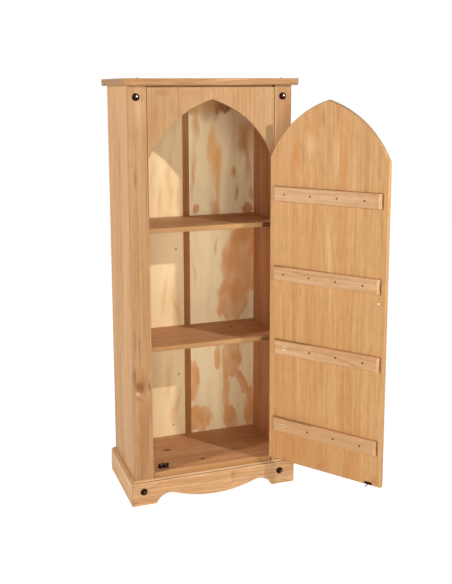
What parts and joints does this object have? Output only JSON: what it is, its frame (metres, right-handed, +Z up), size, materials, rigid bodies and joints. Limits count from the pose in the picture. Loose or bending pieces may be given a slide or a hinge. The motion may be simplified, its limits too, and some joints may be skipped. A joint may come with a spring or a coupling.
{
  "type": "storage cabinet",
  "caption": "Tall narrow pine cabinet with a hinged pointed-arch door on battens, fixed shelves, scalloped plinth, iron studs, ring pull and roller catch.",
  "frame": {"origin": "on the floor, at the middle of the cabinet's width, in the plane of its back", "axes": "+Z up, the door side faces -Y, +X is to the right of somebody who faces the door side"},
  "size_m": [0.6785, 0.593, 1.268],
  "materials": {
    "waxed_pine": "satin wax",
    "door_pine": "satin wax",
    "plywood": "matte",
    "dark_hardwood": "matte",
    "black_iron": "satin",
    "bright_steel": "satin",
    "black_nylon": "matte"
  },
  "bodies": {
    "case": {"back_muntin": "dark_hardwood", "back_panel_left": "plywood", "back_panel_right": "plywood", "bottom_rail": "waxed_pine", "catch_body": "black_iron", "floor_board": "waxed_pine", "floor_cleats": "waxed_pine", "head_panel": "waxed_pine", "hinge_1_pin": "black_iron", "hinge_1_stile_leaf": "black_iron", "hinge_2_pin": "black_iron", "hinge_2_stile_leaf": "black_iron", "plinth_blocks": "waxed_pine", "plinth_front": "waxed_pine", "plinth_left": "waxed_pine", "plinth_rear": "waxed_pine", "plinth_right": "waxed_pine", "plinth_studs": "black_iron", "shelf_cleats": "waxed_pine", "shelf_lower": "waxed_pine", "shelf_upper": "waxed_pine", "side_panel_left": "waxed_pine", "side_panel_right": "waxed_pine", "stile_left": "waxed_pine", "stile_right": "waxed_pine", "top_board": "waxed_pine", "top_cleats": "waxed_pine", "top_rail_front": "waxed_pine", "top_rail_rear": "waxed_pine", "upper_studs": "black_iron"},
    "door": {"door_plank_1": "door_pine", "door_plank_2": "door_pine", "door_plank_3": "door_pine", "door_plank_4": "door_pine", "door_batten_1": "door_pine", "door_batten_2": "door_pine", "door_batten_3": "door_pine", "door_batten_4": "door_pine", "hinge_1_door_leaf": "black_iron", "hinge_2_door_leaf": "black_iron", "handle_rosette": "black_iron", "handle_screw": "bright_steel", "catch_strike": "black_iron"},
    "ring": {"handle_ring": "black_iron"},
    "arm_left": {"catch_arm_left": "bright_steel"},
    "arm_right": {"catch_arm_right": "bright_steel"},
    "roller_left": {"catch_roller_left": "black_nylon"},
    "roller_right": {"catch_roller_right": "black_nylon"}
  },
  "joints": [
    {"name": "door_hinge", "type": "hinge", "parent": "case", "child": "door", "pos_m": [0.19175, -0.271, 0.5665], "axis": [0, 0, 1], "range_deg": [-125, 50]},
    {"name": "ring_flip", "type": "hinge", "parent": "door", "child": "ring", "pos_m": [0.4033, -0.56266, 0.64], "axis": [0.5736, -0.8192, 0], "range_deg": [0, 170]},
    {"name": "arm_left_swing", "type": "hinge", "parent": "case", "child": "arm_left", "pos_m": [-0.1595, -0.2342, 0.094], "axis": [0, 0, -1], "range_deg": [0, 14], "stiffness_Nm_per_rad": 0.01, "springref_deg": -17.19},
    {"name": "arm_right_swing", "type": "hinge", "parent": "case", "child": "arm_right", "pos_m": [-0.1445, -0.2342, 0.094], "axis": [0, 0, 1], "range_deg": [0, 14], "stiffness_Nm_per_rad": 0.01, "springref_deg": -17.19},
    {"name": "roller_left_spin", "type": "hinge", "parent": "arm_left", "child": "roller_left", "pos_m": [-0.1579, -0.2396, 0.0955], "axis": [0, 0, 1], "continuous": true},
    {"name": "roller_right_spin", "type": "hinge", "parent": "arm_right", "child": "roller_right", "pos_m": [-0.1461, -0.2396, 0.0955], "axis": [0, 0, 1], "continuous": true}
  ]
}
